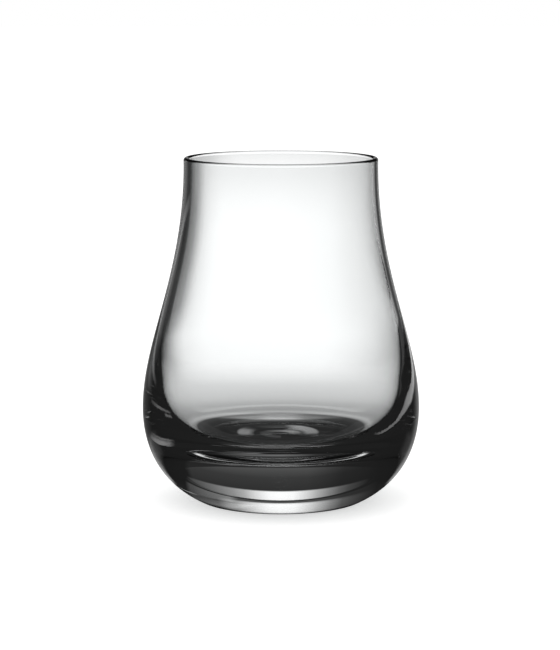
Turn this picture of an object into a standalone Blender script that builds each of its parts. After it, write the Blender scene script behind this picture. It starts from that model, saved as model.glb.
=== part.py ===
"""Whisky tumbler: one piece of clear glass with a tulip bowl, a heavy base and a fire-polished lip.

The glass is a turned shape. Its profile is drawn in the plane y = 0, out from the middle of the
hollow's floor, up the inside, over the lip, down the outside and in under the foot, and is then
swept once round the Z axis. Metres, +Z up; the origin is the centre of the foot on the table.
"""
import math

import bpy

# Overall form, as it is measured on the outside
HEIGHT = 0.098              # table to the top of the lip
RIM_RADIUS = 0.02755        # outside of the lip
BELLY_RADIUS = 0.0396       # outside, at the widest level
BELLY_HEIGHT = 0.0263       # table to the widest level
FOOT_RADIUS = 0.0232        # outer edge of the flat ring that stands on the table

# Glass thickness
RIM_WALL = 0.0015           # at the lip, which is rounded over its whole thickness
BELLY_WALL = 0.0046         # belly's outside to the widest part of the hollow
FLOOR_THICKNESS = 0.0157    # table to the middle of the hollow's floor
HOLLOW_RISE = 0.0102        # how far the hollow's widest level lies above the belly's

# Foot
FOOT_RING_WIDTH = 0.0107    # flat standing ring, between the heel's edge and the punt
FOOT_EDGE_RADIUS = 0.0015   # rounding between the heel and the standing ring
HEEL_ANGLE = math.radians(25.9)     # rise of the heel where it leaves that rounding
PUNT_DEPTH = 0.0005         # rise of the shallow dome under the middle of the foot

# Curve shape, as shares of the height that each curve covers
RIM_FLARE = math.radians(0.5)   # lean of both walls at the lip
NECK_PULL = 0.453           # how far down the outer wall the lip's direction carries
SHOULDER_PULL = 0.279       # how far up the outer wall the belly's upright direction carries
BELLY_PULL = 0.345          # how far down the heel the belly's upright direction carries
HEEL_PULL = 0.527           # how far up the heel its direction at the foot carries
INNER_NECK_PULL = 0.499     # as NECK_PULL, for the hollow's wall
INNER_SHOULDER_PULL = 0.273     # as SHOULDER_PULL, for the hollow's wall
FLOOR_FLATNESS = 5.24       # exponent across the hollow's floor: 2 is an ellipse, more is flatter
CORNER_FULLNESS = 2.52      # exponent up the hollow's corner: 2 is an ellipse, more is fuller

# Straight stretches that stand for each curve, and turns of the sweep
FLOOR_STEPS = 12
WALL_STEPS = 12
LIP_STEPS = 6
HEEL_STEPS = 9
FOOT_EDGE_STEPS = 3
PUNT_STEPS = 4
TURN_STEPS = 64
MERGE_DISTANCE = 0.00001


def clear_scene():
    for old in list(bpy.data.objects):
        bpy.data.objects.remove(old, do_unlink=True)


def bezier(start, start_handle, end_handle, end, steps):
    """Points after start on a cubic curve, up to and including end."""
    points = []
    for step in range(1, steps + 1):
        t = step / steps
        weights = ((1 - t) ** 3, 3 * t * (1 - t) ** 2, 3 * t * t * (1 - t), t ** 3)
        corners = (start, start_handle, end_handle, end)
        points.append(tuple(sum(w * c[axis] for w, c in zip(weights, corners)) for axis in (0, 1)))
    return points


def arc(centre, radius, first_angle, last_angle, steps):
    """Points after the first on a circular arc, angles from the +X direction."""
    points = []
    for step in range(1, steps + 1):
        angle = first_angle + (last_angle - first_angle) * step / steps
        points.append((centre[0] + radius * math.cos(angle), centre[1] + radius * math.sin(angle)))
    return points


def hollow_floor():
    """The hollow from the middle of its floor out to its widest level: flat, then a full corner."""
    radius = BELLY_RADIUS - BELLY_WALL
    widest = BELLY_HEIGHT + HOLLOW_RISE
    depth = widest - FLOOR_THICKNESS
    points = [(0.0, FLOOR_THICKNESS)]
    for step in range(1, FLOOR_STEPS):
        turn = math.pi / 2 * step / FLOOR_STEPS
        points.append((radius * math.sin(turn) ** (2 / FLOOR_FLATNESS),
                       widest - depth * math.cos(turn) ** (2 / CORNER_FULLNESS)))
    points.append((radius, widest))
    return points


def wall(rim, rim_pull, belly, belly_pull, steps):
    """A wall from its lip down to its widest level, upright there and nearly so at the lip."""
    rise = rim[1] - belly[1]
    rim_handle = (rim[0] - math.tan(RIM_FLARE) * rim_pull * rise, rim[1] - rim_pull * rise)
    belly_handle = (belly[0], belly[1] + belly_pull * rise)
    return bezier(rim, rim_handle, belly_handle, belly, steps)


def glass_profile():
    lip_radius = RIM_WALL / 2
    lip_level = HEIGHT - lip_radius
    inner_rim = (RIM_RADIUS - RIM_WALL, lip_level)
    outer_rim = (RIM_RADIUS, lip_level)
    belly = (BELLY_RADIUS, BELLY_HEIGHT)

    points = hollow_floor()
    inner_wall = wall(inner_rim, INNER_NECK_PULL, points[-1], INNER_SHOULDER_PULL, WALL_STEPS)
    points += inner_wall[-2::-1] + [inner_rim]
    points += arc((RIM_RADIUS - lip_radius, lip_level), lip_radius, math.pi, 0.0, LIP_STEPS)
    points += wall(outer_rim, NECK_PULL, belly, SHOULDER_PULL, WALL_STEPS)

    edge_centre = (FOOT_RADIUS, FOOT_EDGE_RADIUS)
    heel_end = (FOOT_RADIUS + FOOT_EDGE_RADIUS * math.sin(HEEL_ANGLE),
                FOOT_EDGE_RADIUS * (1 - math.cos(HEEL_ANGLE)))
    heel_handle = (heel_end[0] + math.cos(HEEL_ANGLE) * HEEL_PULL * BELLY_HEIGHT,
                   heel_end[1] + math.sin(HEEL_ANGLE) * HEEL_PULL * BELLY_HEIGHT)
    belly_handle = (BELLY_RADIUS, BELLY_HEIGHT * (1 - BELLY_PULL))
    points += bezier(belly, belly_handle, heel_handle, heel_end, HEEL_STEPS)
    points += arc(edge_centre, FOOT_EDGE_RADIUS, HEEL_ANGLE - math.pi / 2, -math.pi / 2, FOOT_EDGE_STEPS)

    punt_radius = FOOT_RADIUS - FOOT_RING_WIDTH
    points.append((punt_radius, 0.0))
    for step in range(1, PUNT_STEPS + 1):
        share = step / PUNT_STEPS
        points.append((punt_radius * (1 - share), PUNT_DEPTH * (1 - math.cos(math.pi * share)) / 2))
    return points


def clear_glass():
    material = bpy.data.materials.new("clear_glass")
    material.use_nodes = True
    shader = material.node_tree.nodes["Principled BSDF"]
    shader.inputs["Base Color"].default_value = (0.96, 0.965, 0.965, 1.0)
    shader.inputs["Metallic"].default_value = 0.0
    shader.inputs["Roughness"].default_value = 0.02
    shader.inputs["IOR"].default_value = 1.52
    shader.inputs["Transmission Weight"].default_value = 1.0
    return material


def turned(name, profile, material, collection):
    mesh = bpy.data.meshes.new(name)
    edges = [(index, index + 1) for index in range(len(profile) - 1)]
    mesh.from_pydata([(x, 0.0, z) for x, z in profile], edges, [])
    mesh.materials.append(material)
    piece = bpy.data.objects.new(name, mesh)
    collection.objects.link(piece)
    sweep = piece.modifiers.new("sweep", "SCREW")
    sweep.axis = "Z"
    sweep.angle = 2 * math.pi
    sweep.steps = TURN_STEPS
    sweep.render_steps = TURN_STEPS
    sweep.use_merge_vertices = True
    sweep.merge_threshold = MERGE_DISTANCE
    sweep.use_smooth_shade = True
    return piece


clear_scene()
tumbler_collection = bpy.data.collections.new("whisky_tumbler")
bpy.context.scene.collection.children.link(tumbler_collection)
turned("tumbler_glass", glass_profile(), clear_glass(), tumbler_collection)
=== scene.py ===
"""Looks of the whisky tumbler: the smooth glass, the table and studio it stands in, and the camera."""
import math

import bpy
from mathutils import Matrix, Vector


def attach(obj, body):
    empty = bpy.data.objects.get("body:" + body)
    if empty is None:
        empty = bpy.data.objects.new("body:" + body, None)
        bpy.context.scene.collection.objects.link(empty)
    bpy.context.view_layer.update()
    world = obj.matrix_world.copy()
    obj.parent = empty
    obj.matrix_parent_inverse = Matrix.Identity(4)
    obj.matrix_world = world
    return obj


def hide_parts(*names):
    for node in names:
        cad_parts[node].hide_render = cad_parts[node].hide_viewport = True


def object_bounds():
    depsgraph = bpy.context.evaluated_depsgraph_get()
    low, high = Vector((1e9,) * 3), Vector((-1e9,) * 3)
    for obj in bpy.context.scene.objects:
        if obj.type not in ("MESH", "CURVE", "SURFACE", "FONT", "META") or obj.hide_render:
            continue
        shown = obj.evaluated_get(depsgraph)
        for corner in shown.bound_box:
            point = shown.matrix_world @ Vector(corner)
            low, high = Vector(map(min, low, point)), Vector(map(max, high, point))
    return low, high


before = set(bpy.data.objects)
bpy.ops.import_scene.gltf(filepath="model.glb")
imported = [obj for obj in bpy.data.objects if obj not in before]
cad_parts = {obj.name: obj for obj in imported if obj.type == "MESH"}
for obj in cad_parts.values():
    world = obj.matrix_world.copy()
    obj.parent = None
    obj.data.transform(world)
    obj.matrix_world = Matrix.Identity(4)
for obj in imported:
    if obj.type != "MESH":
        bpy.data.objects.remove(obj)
cad_low, cad_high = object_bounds()
scene = bpy.context.scene


# The tumbler is one piece of clear lead-free crystal, blown into a turned mould from a single gob, so that
# bowl, wall, heavy base and foot run into each other with no joint. The lip was cut and melted round in a
# flame, and the foot was left flat but for a shallow hollow in its middle, which keeps it from rocking.
HEIGHT = cad_high[2] - cad_low[2]
BELLY_RADIUS = (cad_high[0] - cad_low[0]) / 2
RIM_RADIUS = 0.02755
BELLY_HEIGHT = 0.0263
FOOT_RADIUS = 0.0232
RIM_WALL = 0.0015
BELLY_WALL = 0.0046
FLOOR_THICKNESS = 0.0157
HOLLOW_RISE = 0.0102
FOOT_RING_WIDTH = 0.0107
FOOT_EDGE_RADIUS = 0.0015
HEEL_ANGLE = math.radians(25.9)
PUNT_DEPTH = 0.0005
RIM_FLARE = math.radians(0.5)
NECK_PULL = 0.453
SHOULDER_PULL = 0.279
BELLY_PULL = 0.345
HEEL_PULL = 0.527
INNER_NECK_PULL = 0.499
INNER_SHOULDER_PULL = 0.273
FLOOR_FLATNESS = 5.24
CORNER_FULLNESS = 2.52
FLOOR_STEPS = 64
WALL_STEPS = 80
LIP_CROWDING = 1.5
LIP_STEPS = 16
HEEL_STEPS = 56
FOOT_EDGE_STEPS = 10
PUNT_STEPS = 32
TURN_STEPS = 240
WELD_DISTANCE = 0.000002


def bezier(start, start_handle, end_handle, end, steps, crowding=1.0):
    """Points after start on a cubic curve, up to and including end. Crowding draws them towards start."""
    points = []
    for step in range(1, steps + 1):
        t = (step / steps) ** crowding
        weights = ((1 - t) ** 3, 3 * t * (1 - t) ** 2, 3 * t * t * (1 - t), t ** 3)
        corners = (start, start_handle, end_handle, end)
        points.append(tuple(sum(w * c[axis] for w, c in zip(weights, corners)) for axis in (0, 1)))
    return points


def arc(centre, radius, first_angle, last_angle, steps):
    """Points after the first on a circular arc, angles from the +X direction."""
    points = []
    for step in range(1, steps + 1):
        angle = first_angle + (last_angle - first_angle) * step / steps
        points.append((centre[0] + radius * math.cos(angle), centre[1] + radius * math.sin(angle)))
    return points


def wall(rim, rim_pull, belly, belly_pull):
    """A wall from its lip down to its widest level, upright there and nearly so at the lip."""
    rise = rim[1] - belly[1]
    rim_handle = (rim[0] - math.tan(RIM_FLARE) * rim_pull * rise, rim[1] - rim_pull * rise)
    belly_handle = (belly[0], belly[1] + belly_pull * rise)
    return bezier(rim, rim_handle, belly_handle, belly, WALL_STEPS, LIP_CROWDING)


def glass_profile():
    """Radius and height from the middle of the hollow's floor, up, over the lip and down to the punt."""
    hollow_radius = BELLY_RADIUS - BELLY_WALL
    widest = BELLY_HEIGHT + HOLLOW_RISE
    points = [(0.0, FLOOR_THICKNESS)]
    for step in range(1, FLOOR_STEPS):
        turn = math.pi / 2 * step / FLOOR_STEPS
        points.append((hollow_radius * math.sin(turn) ** (2 / FLOOR_FLATNESS),
                       widest - (widest - FLOOR_THICKNESS) * math.cos(turn) ** (2 / CORNER_FULLNESS)))
    points.append((hollow_radius, widest))

    lip_radius = RIM_WALL / 2
    lip_level = HEIGHT - lip_radius
    inner_rim = (RIM_RADIUS - RIM_WALL, lip_level)
    outer_rim = (RIM_RADIUS, lip_level)
    belly = (BELLY_RADIUS, BELLY_HEIGHT)
    points += wall(inner_rim, INNER_NECK_PULL, points[-1], INNER_SHOULDER_PULL)[-2::-1] + [inner_rim]
    points += arc((RIM_RADIUS - lip_radius, lip_level), lip_radius, math.pi, 0.0, LIP_STEPS)
    points += wall(outer_rim, NECK_PULL, belly, SHOULDER_PULL)

    heel_end = (FOOT_RADIUS + FOOT_EDGE_RADIUS * math.sin(HEEL_ANGLE),
                FOOT_EDGE_RADIUS * (1 - math.cos(HEEL_ANGLE)))
    heel_handle = (heel_end[0] + math.cos(HEEL_ANGLE) * HEEL_PULL * BELLY_HEIGHT,
                   heel_end[1] + math.sin(HEEL_ANGLE) * HEEL_PULL * BELLY_HEIGHT)
    belly_handle = (BELLY_RADIUS, BELLY_HEIGHT * (1 - BELLY_PULL))
    points += bezier(belly, belly_handle, heel_handle, heel_end, HEEL_STEPS)
    points += arc((FOOT_RADIUS, FOOT_EDGE_RADIUS), FOOT_EDGE_RADIUS,
                  HEEL_ANGLE - math.pi / 2, -math.pi / 2, FOOT_EDGE_STEPS)

    punt_radius = FOOT_RADIUS - FOOT_RING_WIDTH
    points.append((punt_radius, 0.0))
    for step in range(1, PUNT_STEPS + 1):
        share = step / PUNT_STEPS
        points.append((punt_radius * (1 - share), PUNT_DEPTH * (1 - math.cos(math.pi * share)) / 2))
    return points


def add_node(tree, kind, *inputs, output=0, named=None, stops=None, **settings):
    """Adds a node with its settings and links. Inputs are values or outputs, in socket order or by name.
    The stops of a ramp are pairs of place and grey level, and the ramp runs from the first to the last."""
    made = tree.nodes.new(kind)
    for name, value in settings.items():
        setattr(made, name, value)
    links = list(zip(made.inputs, inputs))
    links += [(made.inputs[name], value) for name, value in (named or {}).items()]
    for socket, value in links:
        if isinstance(value, bpy.types.NodeSocket):
            tree.links.new(value, socket)
        elif value is not None:
            socket.default_value = value
    if stops:
        elements = made.color_ramp.elements
        elements.remove(elements[1])
        first, last = stops[0][0], stops[-1][0]
        for count, (place, level) in enumerate(stops):
            share = (place - first) / (last - first)
            element = elements.new(share) if count else elements[0]
            element.position = share
            element.color = (level, level, level, 1.0)
    return made.outputs[output] if len(made.outputs) else made


def light_patch(tree, *fades):
    """Level of a patch of light, as the product of its fades. A fade is a coordinate and its ramp stops."""
    level = 1.0
    for place, stops in fades:
        share = add_node(tree, "ShaderNodeMapRange", place, stops[0][0], stops[-1][0])
        fade = add_node(tree, "ShaderNodeValToRGB", share, stops=stops)
        level = add_node(tree, "ShaderNodeMath", level, fade, operation="MULTIPLY")
    return level


def turning_tree():
    """Geometry nodes that turn a profile in the XZ plane once round Z, closed at its seam and poles."""
    tree = bpy.data.node_groups.new("turned_glass", "GeometryNodeTree")
    tree.interface.new_socket("Profile", in_out="INPUT", socket_type="NodeSocketGeometry")
    tree.interface.new_socket("Turn Steps", in_out="INPUT", socket_type="NodeSocketInt")
    tree.interface.new_socket("Weld Distance", in_out="INPUT", socket_type="NodeSocketFloat")
    tree.interface.new_socket("Glass", in_out="INPUT", socket_type="NodeSocketMaterial")
    tree.interface.new_socket("Turned", in_out="OUTPUT", socket_type="NodeSocketGeometry")
    given = tree.nodes.new("NodeGroupInput").outputs

    count = add_node(tree, "GeometryNodeAttributeDomainSize", given["Profile"])
    columns = add_node(tree, "ShaderNodeMath", given["Turn Steps"], 1, operation="ADD")
    sheet = add_node(tree, "GeometryNodeMeshGrid", 1.0, 1.0, columns, count)
    index = add_node(tree, "GeometryNodeInputIndex")
    row = add_node(tree, "ShaderNodeMath", index, count, operation="MODULO")
    column = add_node(tree, "ShaderNodeMath", index, count, operation="DIVIDE")
    column = add_node(tree, "ShaderNodeMath", column, operation="FLOOR")
    step_angle = add_node(tree, "ShaderNodeMath", math.tau, given["Turn Steps"], operation="DIVIDE")
    angle = add_node(tree, "ShaderNodeMath", column, step_angle, operation="MULTIPLY")
    point = add_node(tree, "GeometryNodeSampleIndex", given["Profile"],
                     add_node(tree, "GeometryNodeInputPosition"), row, data_type="FLOAT_VECTOR")
    turned_point = add_node(tree, "ShaderNodeVectorRotate", rotation_type="Z_AXIS",
                            named={"Vector": point, "Angle": angle})
    turned = add_node(tree, "GeometryNodeSetPosition", sheet, named={"Position": turned_point})
    closed = add_node(tree, "GeometryNodeMergeByDistance", turned, named={"Distance": given["Weld Distance"]})
    outward = add_node(tree, "GeometryNodeFlipFaces", closed)
    smooth = add_node(tree, "GeometryNodeSetShadeSmooth", outward)
    real = add_node(tree, "GeometryNodeRealizeInstances", smooth)
    finished = add_node(tree, "GeometryNodeSetMaterial", real, named={"Material": given["Glass"]})
    tree.links.new(finished, tree.nodes.new("NodeGroupOutput").inputs["Turned"])
    return tree


def hex_colour(code):
    """Linear RGBA of an sRGB colour written as #RRGGBB."""
    channels = [int(code[place:place + 2], 16) / 255 for place in (1, 3, 5)]
    return [c / 12.92 if c <= 0.04045 else ((c + 0.055) / 1.055) ** 2.4 for c in channels] + [1.0]


WAVE_LENGTH = 0.011
WAVE_HEIGHT = 0.0000015
WAVE_DETAIL = 1.0
WAVE_ROUGHNESS = 0.4
WIPE_LENGTH = 0.030
WIPE_DETAIL = 3.0
WIPE_SWIRL = 0.6
WIPE_FROM = 0.55
WIPE_TO = 0.75
WIPE_ROUGHNESS = 0.012
GLASS_INDEX = 1.52
GLASS_COLOUR = "#FDFEFE"
SHADOW_COLOUR = "#E9ECEB"
DEPTH_COLOUR = "#D0D0D0"
DEPTH_DENSITY = 3.0


def fire_polished_crystal():
    """Lead-free crystal, mould-blown and fire-polished: no grain, only the slow waviness that moving glass
    freezes with, a film of the last wipe that softens a highlight here and there, and a breath of grey
    where the base is thick."""
    material = bpy.data.materials.new("fire_polished_crystal")
    material.use_nodes = True
    tree = material.node_tree
    tree.nodes.clear()
    place = add_node(tree, "ShaderNodeTexCoord", output="Object")
    waves = add_node(tree, "ShaderNodeTexNoise", place, named={
        "Scale": 1 / WAVE_LENGTH, "Detail": WAVE_DETAIL, "Roughness": WAVE_ROUGHNESS})
    relief = add_node(tree, "ShaderNodeBump", named={"Height": waves, "Distance": WAVE_HEIGHT})
    wipes = add_node(tree, "ShaderNodeTexNoise", place, named={
        "Scale": 1 / WIPE_LENGTH, "Detail": WIPE_DETAIL, "Distortion": WIPE_SWIRL})
    film = add_node(tree, "ShaderNodeMapRange", wipes, WIPE_FROM, WIPE_TO, 0.0, WIPE_ROUGHNESS)
    glass = add_node(tree, "ShaderNodeBsdfPrincipled", named={
        "Base Color": hex_colour(GLASS_COLOUR), "Metallic": 0.0, "Roughness": film, "IOR": GLASS_INDEX,
        "Transmission Weight": 1.0, "Normal": relief})
    veil = add_node(tree, "ShaderNodeBsdfTransparent", hex_colour(SHADOW_COLOUR))
    casts_shadow = add_node(tree, "ShaderNodeLightPath", output="Is Shadow Ray")
    shown = add_node(tree, "ShaderNodeMixShader", casts_shadow, glass, veil)
    depth = add_node(tree, "ShaderNodeVolumeAbsorption", hex_colour(DEPTH_COLOUR), DEPTH_DENSITY)
    add_node(tree, "ShaderNodeOutputMaterial", shown, depth)
    return material


profile = glass_profile()
profile_mesh = bpy.data.meshes.new("profile")
profile_mesh.from_pydata([(radius, 0.0, level) for radius, level in profile],
                         [(place, place + 1) for place in range(len(profile) - 1)], [])
lathe = bpy.data.objects.new("lathe", profile_mesh)
scene.collection.objects.link(lathe)
turning = lathe.modifiers.new("turning", "NODES")
turning.node_group = turning_tree()
for socket in turning.node_group.interface.items_tree:
    if socket.name == "Turn Steps":
        turning[socket.identifier] = TURN_STEPS
    elif socket.name == "Weld Distance":
        turning[socket.identifier] = WELD_DISTANCE
    elif socket.name == "Glass":
        turning[socket.identifier] = fire_polished_crystal()
turned_mesh = bpy.data.meshes.new_from_object(lathe.evaluated_get(bpy.context.evaluated_depsgraph_get()))
bpy.data.objects.remove(lathe)
tumbler = bpy.data.objects.new("crystal_tumbler", turned_mesh)
scene.collection.objects.link(tumbler)
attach(tumbler, "root")
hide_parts("tumbler_glass")


# The table is a wide sheet of matt white card that keeps the soft shadow of the glass. Through the glass it
# shows painted shade under the foot and painted spots of light, where the base would gather light, and it is
# clear further out, where the studio shows. A fade is pairs of place, in metres from the axis or degrees from
# +Y towards +X, and level.
TABLE_SIZE = 12.0
TABLE_GAP = 0.0003
TABLE_COLOUR = "#E8E8E8"
TABLE_LIFT = 0.55

# Straight through the glass: painted shade under it, a painted pool of light from behind, and three painted
# spots of light in it
SHADE_WIDTH = 1.1
SHADE_EDGE = 0.075
SHADE_REACH = 0.125
SHADE = ((0.0, 0.018), (0.018, 0.022), (0.024, 0.045), (0.0278, 0.08), (0.0292, 0.42), (0.0308, 0.60),
         (0.0335, 0.45), (0.0355, 0.43), (0.040, 0.50), (0.046, 0.57), (0.051, 0.66), (0.057, 0.73),
         (0.065, 0.79), (0.075, 0.85), (0.0875, 0.94), (0.105, 1.04), (SHADE_REACH, 1.10))
LEAK_DEPTH = ((0.0165, 0.0), (0.0185, 0.10), (0.0205, 0.75), (0.0225, 0.60), (0.0245, 0.36),
              (0.0278, 0.33), (0.0288, 0.0))
LEAK_WIDTH = ((-0.026, 0.0), (-0.020, 0.12), (-0.014, 0.38), (-0.008, 0.62), (-0.004, 0.95), (0.001, 1.0),
              (0.004, 0.85), (0.008, 0.42), (0.014, 0.20), (0.020, 0.05), (0.024, 0.0))
CRESCENT_RADII = ((0.0065, 0.0), (0.0085, 1.0), (0.0115, 0.9), (0.0125, 0.0))
CRESCENT_SIDES = ((-60.0, 0.0), (5.0, 0.03), (16.0, 0.35), (30.0, 0.50), (55.0, 0.40), (90.0, 0.27),
                  (105.0, 0.0))
LOBE_RADII = ((0.0085, 0.0), (0.0105, 1.0), (0.0135, 1.0), (0.0145, 0.0))
LOBE_SIDES = ((-110.0, 0.0), (-95.0, 0.28), (-72.0, 0.25), (-58.0, 0.06), (-48.0, 0.0))
SPOT_RADII = ((0.002, 0.0), (0.004, 1.0), (0.006, 0.9), (0.007, 0.0))
SPOT_SIDES = ((-60.0, 0.05), (-20.0, 0.17), (0.0, 0.25), (30.0, 0.36), (60.0, 0.33), (90.0, 0.14),
              (105.0, 0.0))

# Folded inside the glass: a narrower painted shade, lighter towards the front, and two painted glows on the
# right
FOLDED_ONCE = 0.5
FOLD_EDGE = 0.063
FOLD_REACH = 0.075
FOLD_SHADE = ((0.0, 0.05), (0.0185, 0.05), (0.0198, 0.10), (0.0207, 0.19), (0.0218, 0.14), (0.0228, 0.13),
              (0.0237, 0.03))
FOLD_SIDES = ((-180.0, 1.0), (-165.0, 0.9), (-150.0, 0.75), (-137.0, 0.45), (-118.0, 0.12), (118.0, 0.1),
              (137.0, 0.15), (150.0, 0.25), (165.0, 0.7), (180.0, 1.0))
NEAR_RADII = ((0.075, 0.0), (0.095, 1.0), (0.30, 1.0), (0.42, 0.0))
NEAR_SIDES = ((5.5, 0.0), (8.0, 0.2), (11.0, 0.15), (14.0, 0.09), (18.0, 0.05), (24.0, 0.0))
FAR_RADII = ((0.45, 0.0), (0.60, 1.0), (3.0, 1.0), (3.6, 0.0))
FAR_SIDES = ((28.0, 0.0), (30.5, 0.17), (32.0, 0.30), (34.0, 0.40), (38.0, 0.40), (42.0, 0.2), (45.0, 0.0))

# Mirrored on the outside: painted dark under the heel, a painted streak of light on the right and a painted
# glint on the left
MIRROR_EDGE = 0.033
MIRROR_REACH = 0.037
MIRROR_SHADE = 0.02
STREAK_MIDDLE = ((-0.030, 0.113), (0.005, 0.147), (0.058, 0.196), (0.133, 0.243), (0.231, 0.290),
                 (0.300, 0.308), (0.370, 0.290), (0.443, 0.250), (0.535, 0.200))
STREAK_HALF = ((-0.030, 0.004), (0.030, 0.008), (0.058, 0.011), (0.092, 0.017), (0.133, 0.026),
               (0.179, 0.045), (0.231, 0.055), (0.290, 0.075), (0.535, 0.080))
STREAK_LEVEL = ((-0.040, 0.0), (-0.025, 1.7), (0.030, 1.5), (0.200, 1.4), (0.300, 1.15), (0.443, 1.0),
                (0.535, 0.8), (0.620, 0.0))
STREAK_BLUR = 1.6
GLINT_WIDTH = ((-0.0895, 0.0), (-0.087, 0.9), (-0.083, 0.6), (-0.079, 1.2), (-0.0735, 1.1), (-0.0715, 0.0))
GLINT_DEPTH = ((-0.014, 0.0), (-0.008, 0.6), (-0.003, 1.3), (0.010, 1.3), (0.022, 0.8), (0.036, 0.35),
               (0.052, 0.0))


def card_with_painted_shade_and_light():
    """Matt white card, even and without gloss, and just white enough to the camera to leave no edge.
    Rays through or off the glass see painted shade and painted light on it instead.
    """
    material = bpy.data.materials.new("card_with_painted_shade_and_light")
    material.use_nodes = True
    tree = material.node_tree
    tree.nodes.clear()
    rays = add_node(tree, "ShaderNodeLightPath").node.outputs
    paper = add_node(tree, "ShaderNodeBsdfDiffuse", hex_colour(TABLE_COLOUR))
    lift = add_node(tree, "ShaderNodeMath", rays["Is Camera Ray"], TABLE_LIFT, operation="MULTIPLY")
    seen = add_node(tree, "ShaderNodeAddShader", paper, add_node(tree, "ShaderNodeEmission", None, lift))

    place = add_node(tree, "ShaderNodeTexCoord", output="Object")
    x, y, _ = add_node(tree, "ShaderNodeSeparateXYZ", place).node.outputs
    bearing = add_node(tree, "ShaderNodeMath", x, y, operation="ARCTAN2")
    bearing = add_node(tree, "ShaderNodeMath", bearing, operation="DEGREES")
    distances = []
    for width in (1.0, SHADE_WIDTH):
        flat = add_node(tree, "ShaderNodeVectorMath", place, (1 / width, 1.0, 0.0), operation="MULTIPLY")
        distances.append(add_node(tree, "ShaderNodeVectorMath", flat, operation="LENGTH", output="Value"))
    radius, shade_radius = distances

    # Painted shade under the foot, with the painted pool and spots of light added to it
    shade = light_patch(tree, (shade_radius, SHADE))
    for fades in (((y, LEAK_DEPTH), (x, LEAK_WIDTH)),
                  ((radius, CRESCENT_RADII), (bearing, CRESCENT_SIDES)),
                  ((radius, LOBE_RADII), (bearing, LOBE_SIDES)),
                  ((radius, SPOT_RADII), (bearing, SPOT_SIDES))):
        shade = add_node(tree, "ShaderNodeMath", shade, light_patch(tree, *fades), operation="ADD")

    # Painted shade and painted glows, for rays folded inside the glass
    fold_shade = light_patch(tree, (radius, FOLD_SHADE), (bearing, FOLD_SIDES))
    near_glow = light_patch(tree, (radius, NEAR_RADII), (bearing, NEAR_SIDES))
    far_glow = light_patch(tree, (radius, FAR_RADII), (bearing, FAR_SIDES))
    glow = add_node(tree, "ShaderNodeMath", near_glow, far_glow, operation="ADD")

    # A painted streak of light and a painted glint, for rays mirrored off the outside of the glass
    streak_middle, streak_half, streak_level = [
        light_patch(tree, (y, stops)) for stops in (STREAK_MIDDLE, STREAK_HALF, STREAK_LEVEL)]
    off_streak = add_node(tree, "ShaderNodeMath", x, streak_middle, operation="SUBTRACT")
    off_streak = add_node(tree, "ShaderNodeMath", off_streak, operation="ABSOLUTE")
    streak_edge = add_node(tree, "ShaderNodeMath", streak_half, STREAK_BLUR, operation="MULTIPLY")
    streak = add_node(tree, "ShaderNodeMapRange", off_streak, streak_half, streak_edge, streak_level, 0.0)
    glint = light_patch(tree, (x, GLINT_WIDTH), (y, GLINT_DEPTH))
    shine = add_node(tree, "ShaderNodeMath", streak, glint, operation="ADD")

    views = []
    for near_level, edge, reach, far_level in ((shade, SHADE_EDGE, SHADE_REACH, 0.0),
                                               (fold_shade, FOLD_EDGE, FOLD_REACH, glow),
                                               (MIRROR_SHADE, MIRROR_EDGE, MIRROR_REACH, shine)):
        near = add_node(tree, "ShaderNodeEmission", None, near_level)
        far = add_node(tree, "ShaderNodeEmission", None, far_level)
        far = add_node(tree, "ShaderNodeAddShader", add_node(tree, "ShaderNodeBsdfTransparent"), far)
        past_shade = add_node(tree, "ShaderNodeMapRange", radius, edge, reach)
        views.append(add_node(tree, "ShaderNodeMixShader", past_shade, near, far))
    straight, folded, mirrored = views

    # Only rays through or off the glass see the painted shade and light; the camera sees the plain card
    has_folded = add_node(tree, "ShaderNodeMath", rays["Glossy Depth"], FOLDED_ONCE, operation="GREATER_THAN")
    by_glass = add_node(tree, "ShaderNodeMath", rays["Is Transmission Ray"], rays["Is Glossy Ray"],
                        operation="MAXIMUM")
    shown = add_node(tree, "ShaderNodeMixShader", has_folded, straight, folded)
    shown = add_node(tree, "ShaderNodeMixShader", rays["Is Reflection Ray"], shown, mirrored)
    shown = add_node(tree, "ShaderNodeMixShader", by_glass, seen, shown)
    add_node(tree, "ShaderNodeOutputMaterial", shown)
    return material


half = TABLE_SIZE / 2
table_mesh = bpy.data.meshes.new("table")
table_mesh.from_pydata([(-half, -half, -TABLE_GAP), (half, -half, -TABLE_GAP),
                        (half, half, -TABLE_GAP), (-half, half, -TABLE_GAP)], [], [(0, 1, 2, 3)])
table_mesh.materials.append(card_with_painted_shade_and_light())
table = bpy.data.objects.new("table", table_mesh)
scene.collection.objects.link(table)


# The studio is a dark tent with a lit white card behind the glass, and plainer cards for the other sides.
# A patch of light is its turn round the glass, its fade to the sides and its fade upwards, in degrees and
# levels. Light that the glass folds inside, or mirrors on its outside, comes from other parts of the tent.
TENT = ((-36.0, 0.010), (58.0, 0.017), (64.0, 0.04))
ROOM_LEVEL = 0.8
WHITE = "#FFFFFF"
HALF_TURN = 180.0

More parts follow.
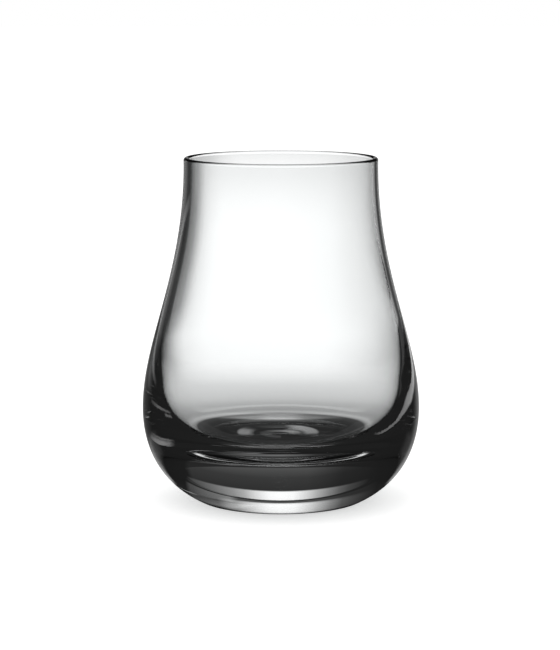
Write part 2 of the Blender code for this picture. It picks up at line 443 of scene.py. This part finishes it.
# Straight through: the spill, the card in three rows, its middle narrower past one wall, and other cards
CROSSED_HOLLOW = 2.5
STRIP_SIDES = ((-37.0, 0.0), (-30.0, 0.15), (-20.0, 0.3), (-8.0, 1.0), (33.0, 1.0), (36.0, 0.0))
STRIP_RISE = ((4.0, 0.07), (10.0, 0.085), (12.5, 0.055), (14.0, 0.035), (18.0, 0.024), (24.0, 0.0))
LOW_SIDES = ((-26.0, 0.0), (-22.0, 0.24), (-16.0, 0.42), (-12.0, 0.60), (-9.0, 0.92), (-7.0, 1.10),
             (-4.0, 1.18), (2.0, 1.18), (5.0, 1.0), (8.0, 0.84), (12.0, 0.77), (17.0, 0.74), (21.0, 0.66),
             (26.0, 0.36), (34.0, 0.0))
LOW_RISE = ((-31.0, 0.66), (-20.5, 0.9), (-14.0, 1.0), (-8.0, 0.0))
CARD_SIDES = ((-30.0, 0.0), (-16.0, 0.04), (-14.0, 0.28), (-12.0, 0.33), (-9.5, 0.40), (-8.0, 0.62),
              (-7.0, 0.84), (-6.0, 1.02), (-5.0, 1.12), (-3.5, 1.2), (0.0, 1.2), (2.5, 1.12), (4.0, 1.03),
              (6.0, 0.98), (9.0, 0.97), (13.0, 0.98), (17.0, 1.1), (21.0, 1.5), (25.0, 2.0), (28.0, 1.8),
              (32.0, 0.4), (36.0, 0.0))
CARD_RISE = ((-14.0, 0.0), (-8.0, 1.0), (-6.5, 1.0), (-5.8, 0.93), (-5.0, 0.84), (-4.5, 0.81),
             (-4.2, 0.73), (-3.8, 0.74), (-3.2, 0.95), (0.0, 0.9), (4.0, 0.72), (7.0, 0.0))
MOUTH_SIDES = ((-30.0, 0.0), (-16.0, 0.04), (-14.0, 0.28), (-12.0, 0.33), (-9.5, 0.40), (-8.0, 0.55),
               (-6.0, 0.68), (-4.6, 0.78), (-3.6, 0.80), (-3.0, 0.91), (-2.4, 1.06), (-1.6, 1.19), (0.0, 1.2),
               (1.4, 1.16), (2.7, 1.06), (3.5, 1.0), (5.0, 1.0), (9.0, 0.97), (13.0, 0.98), (17.0, 1.1),
               (21.0, 1.5), (25.0, 2.0), (28.0, 1.8), (32.0, 0.4), (36.0, 0.0))
UPPER_SIDES = ((-34.0, 0.0), (-28.0, 0.03), (-24.0, 0.055), (-20.0, 0.12), (-16.0, 0.26), (-12.0, 0.48),
               (-8.0, 0.82), (-4.0, 1.14), (0.0, 1.2), (4.0, 1.14), (8.0, 0.84), (12.0, 0.48), (16.0, 0.31),
               (20.0, 0.23), (24.0, 0.16), (28.0, 0.11), (32.0, 0.07), (40.0, 0.0))
UPPER_RISE = ((19.2, 0.0), (19.8, 1.0), (27.0, 1.0), (29.0, 0.0))
OTHER_SIDES = ((-22.0, 0.0), (-14.0, 0.36), (-8.0, 1.2), (8.0, 1.2), (14.0, 0.36), (22.0, 0.0))
OTHER_RISE = ((-31.0, 0.66), (-14.0, 1.0), (5.0, 0.8), (7.0, 0.0))
AROUND = ((0.0, STRIP_SIDES, STRIP_RISE), (0.0, LOW_SIDES, LOW_RISE), (0.0, UPPER_SIDES, UPPER_RISE),
          (45.0, OTHER_SIDES, OTHER_RISE), (90.0, OTHER_SIDES, OTHER_RISE), (90.0, OTHER_SIDES, UPPER_RISE),
          (225.0, OTHER_SIDES, OTHER_RISE), (225.0, OTHER_SIDES, UPPER_RISE))
ONE_WALL = AROUND + ((0.0, MOUTH_SIDES, CARD_RISE),)
STRAIGHT = AROUND + ((0.0, CARD_SIDES, CARD_RISE),)

# Folded once or twice: the spill has a dark seam, and light that kept to one wall finds the card as well
SEAM_RISE = ((4.0, 0.07), (9.0, 0.08), (9.7, 0.01), (12.2, 0.01), (13.0, 0.045), (14.0, 0.035),
             (18.0, 0.024), (24.0, 0.0))
FOLDED_SIDES = ((-36.0, 0.0), (-30.0, 0.02), (-24.0, 0.05), (-20.0, 0.09), (-16.0, 0.24), (-12.0, 0.50),
                (-8.0, 0.84), (-4.0, 1.16), (0.0, 1.2), (4.0, 1.14), (8.0, 0.84), (12.0, 0.50), (14.0, 0.31),
                (17.0, 0.20), (19.0, 0.09), (21.0, 0.0))
FOLDED_RISE = ((-13.0, 0.0), (-11.0, 1.0), (0.5, 1.0), (2.0, 0.7), (4.0, 0.0))
END_SIDES = ((13.0, 0.0), (16.0, 0.19), (20.0, 0.11), (26.0, 0.06), (32.0, 0.0))
END_RISE = ((-1.0, 0.0), (0.5, 1.0), (8.5, 1.0), (9.7, 0.0), (12.2, 0.0), (13.5, 1.0), (16.0, 1.0),
            (19.0, 0.0))
CROSSED = ((0.0, STRIP_SIDES, SEAM_RISE), (0.0, UPPER_SIDES, UPPER_RISE))
FOLDED = CROSSED + ((0.0, FOLDED_SIDES, FOLDED_RISE), (0.0, END_SIDES, END_RISE))

# Folded more often: a window high on each side, one in the roof and a low one behind the glass
FOLDED_OFTEN = 2.5
WINDOW_SIDES = ((-44.0, 0.0), (-36.0, 0.6), (-29.0, 1.0), (-24.0, 1.0), (-20.0, 0.3), (-14.0, 0.04),
                (16.0, 0.04), (21.0, 0.7), (27.0, 0.9), (36.0, 0.9), (42.0, 0.3), (48.0, 0.0))
WINDOW_RISE = ((37.5, 0.0), (39.5, 0.8), (41.0, 1.0), (43.2, 1.0), (44.8, 0.3), (46.5, 0.0))
ROOF_SIDES = ((-50.0, 0.0), (-40.0, 0.45), (40.0, 0.45), (50.0, 0.0))
ROOF_RISE = ((58.0, 0.0), (62.0, 1.0), (78.0, 1.0), (82.0, 0.0))
SILL_SIDES = ((-9.0, 0.0), (-6.0, 0.5), (6.0, 0.55), (24.0, 0.3), (28.0, 0.0))
SILL_RISE = ((11.5, 0.0), (12.8, 1.0), (18.0, 1.0), (19.5, 0.0))
DEEP = ((0.0, WINDOW_SIDES, WINDOW_RISE), (0.0, ROOF_SIDES, ROOF_RISE), (0.0, SILL_SIDES, SILL_RISE))

# Mirrored on the outside: the tent's sides in three rows, and on the left a blob, a thin line and a stripe
HIGH_SIDES = ((-44.0, 0.0), (-38.0, 0.10), (-31.0, 0.24), (-25.0, 0.18), (-20.0, 0.07), (-12.0, 0.05),
              (-6.0, 0.2), (0.0, 0.3), (14.0, 0.25), (20.0, 0.15), (24.0, 0.05), (34.0, 0.0))
HIGH_RISE = ((-6.0, 0.0), (-4.5, 1.0), (4.0, 1.0), (8.0, 0.0))
MIDDLE_SIDES = ((-42.0, 0.0), (-32.0, 0.06), (-24.0, 0.08), (-15.0, 0.18), (-8.0, 0.25), (0.0, 0.35),
                (10.0, 0.35), (16.0, 0.32), (26.0, 0.2), (33.0, 0.06), (38.0, 0.0))
MIDDLE_RISE = ((-16.5, 0.0), (-14.5, 1.0), (-6.0, 1.0), (-4.5, 0.0))
HEEL_SIDES = ((-52.0, 0.0), (-46.0, 0.1), (-36.0, 0.16), (-30.0, 0.2), (-22.0, 0.36), (-17.0, 0.5),
              (-10.0, 0.65), (0.0, 0.6), (10.0, 0.5), (18.0, 0.45), (23.0, 0.35), (29.0, 0.12), (42.0, 0.08),
              (50.0, 0.0))
HEEL_RISE = ((-26.0, 0.0), (-22.5, 1.0), (-16.5, 1.0), (-14.5, 0.0))
BLOB_SIDES = ((-79.0, 0.0), (-77.0, 1.2), (-70.0, 1.0), (-68.0, 0.0))
BLOB_RISE = ((-8.6, 0.0), (-8.2, 1.0), (-7.5, 1.0), (-7.2, 0.0))
LINE_SIDES = ((-78.0, 0.0), (-74.0, 0.9), (-60.0, 0.9), (-53.0, 0.5), (-46.0, 0.2), (-42.0, 0.0))
LINE_RISE = ((-7.0, 0.0), (-6.6, 1.0), (-6.1, 1.0), (-5.7, 0.0))
STRIPE_SIDES = ((-52.0, 0.0), (-46.0, 0.25), (-41.0, 0.4), (-27.0, 0.4), (-20.0, 0.0))
STRIPE_RISE = ((-2.6, 0.0), (-2.1, 1.0), (-1.5, 1.0), (-1.0, 0.0))
MIRRORED = ((0.0, HIGH_SIDES, HIGH_RISE), (0.0, MIDDLE_SIDES, MIDDLE_RISE), (0.0, HEEL_SIDES, HEEL_RISE),
            (0.0, BLOB_SIDES, BLOB_RISE), (0.0, LINE_SIDES, LINE_RISE), (0.0, STRIPE_SIDES, STRIPE_RISE))


def studio_world():
    """The tent and its cards, with the light that each way through or off the glass finds there."""
    world = bpy.data.worlds.new("studio")
    world.use_nodes = True
    world.cycles.sampling_method = "NONE"
    tree = world.node_tree
    tree.nodes.clear()
    direction = add_node(tree, "ShaderNodeTexCoord", output="Generated")
    x, y, z = add_node(tree, "ShaderNodeSeparateXYZ", direction).node.outputs
    bearing = add_node(tree, "ShaderNodeMath", x, y, operation="ARCTAN2")
    bearing = add_node(tree, "ShaderNodeMath", bearing, operation="DEGREES")
    rise = add_node(tree, "ShaderNodeMath", z, operation="ARCSINE")
    rise = add_node(tree, "ShaderNodeMath", rise, operation="DEGREES")

    tent = light_patch(tree, (rise, TENT))
    views = []
    for patches in (ONE_WALL, STRAIGHT, FOLDED, CROSSED, DEEP, MIRRORED):
        view = tent
        for turn, side_stops, rise_stops in patches:
            aside = add_node(tree, "ShaderNodeMath", bearing, turn, operation="ADD")
            aside = add_node(tree, "ShaderNodeMath", aside, HALF_TURN, -HALF_TURN, operation="WRAP")
            patch = light_patch(tree, (aside, side_stops), (rise, rise_stops))
            view = add_node(tree, "ShaderNodeMath", view, patch, operation="ADD")
        views.append(view)
    one_wall, straight, folded, crossed, deep, mirrored = views

    rays = add_node(tree, "ShaderNodeLightPath").node.outputs
    has_folded, is_deep, past_front = [
        add_node(tree, "ShaderNodeMath", rays[count], least, operation="GREATER_THAN")
        for count, least in (("Glossy Depth", FOLDED_ONCE), ("Glossy Depth", FOLDED_OFTEN),
                             ("Transmission Depth", CROSSED_HOLLOW))]
    has_crossed = add_node(tree, "ShaderNodeMath", past_front, has_folded, operation="MULTIPLY")
    level = one_wall
    for chosen, other in ((past_front, straight), (has_folded, folded), (has_crossed, crossed),
                          (is_deep, deep), (rays["Is Reflection Ray"], mirrored),
                          (rays["Is Diffuse Ray"], ROOM_LEVEL), (rays["Is Camera Ray"], 1.0)):
        level = add_node(tree, "ShaderNodeMix", chosen, None, level, other)
    light = add_node(tree, "ShaderNodeBackground", hex_colour(WHITE), level)
    add_node(tree, "ShaderNodeOutputWorld", light)
    return world


scene.world = studio_world()


# One large soft lamp hangs above the glass, as a window in the tent's roof, and gives the table its shadow.
# The glass itself doesn't show it.
LAMP_WIDTH = 0.9
LAMP_PLACE = (-0.15, -0.1, 1.1)
LAMP_POWER = 2.5

lamp_data = bpy.data.lights.new("roof_light", "AREA")
lamp_data.shape = "SQUARE"
lamp_data.size = LAMP_WIDTH
lamp_data.energy = LAMP_POWER
roof_light = bpy.data.objects.new("roof_light", lamp_data)
roof_light.location = LAMP_PLACE
roof_light.visible_glossy = False
roof_light.visible_transmission = False
roof_light.visible_camera = False
scene.collection.objects.link(roof_light)


# The camera stands a little above the lip and looks down on the glass by about 8 degrees through a long
# lens, so that the mouth shows as a thin ellipse.
PICTURE_HEIGHT = 650
FOCAL_PIXELS = 2476
SENSOR_HEIGHT = 24.0
CAMERA_DISTANCE = 0.700
CAMERA_HEIGHT = 0.1501
CAMERA_ASIDE = -0.00026
CAMERA_PITCH = 0.142
NEAREST_SHOWN = 0.01
LIGHT_BOUNCES = 32
GLOSSY_BOUNCES = 24

camera_data = bpy.data.cameras.new("camera")
camera_data.sensor_fit = "VERTICAL"
camera_data.sensor_height = SENSOR_HEIGHT
camera_data.lens = SENSOR_HEIGHT * FOCAL_PIXELS / PICTURE_HEIGHT
camera_data.clip_start = NEAREST_SHOWN
camera = bpy.data.objects.new("camera", camera_data)
camera.location = (CAMERA_ASIDE, -CAMERA_DISTANCE, CAMERA_HEIGHT)
camera.rotation_euler = (math.pi / 2 - CAMERA_PITCH, 0.0, 0.0)
scene.collection.objects.link(camera)
scene.camera = camera
scene.view_settings.view_transform = "Standard"
scene.cycles.max_bounces = LIGHT_BOUNCES
scene.cycles.glossy_bounces = GLOSSY_BOUNCES
scene.cycles.transmission_bounces = LIGHT_BOUNCES
scene.cycles.use_denoising = True
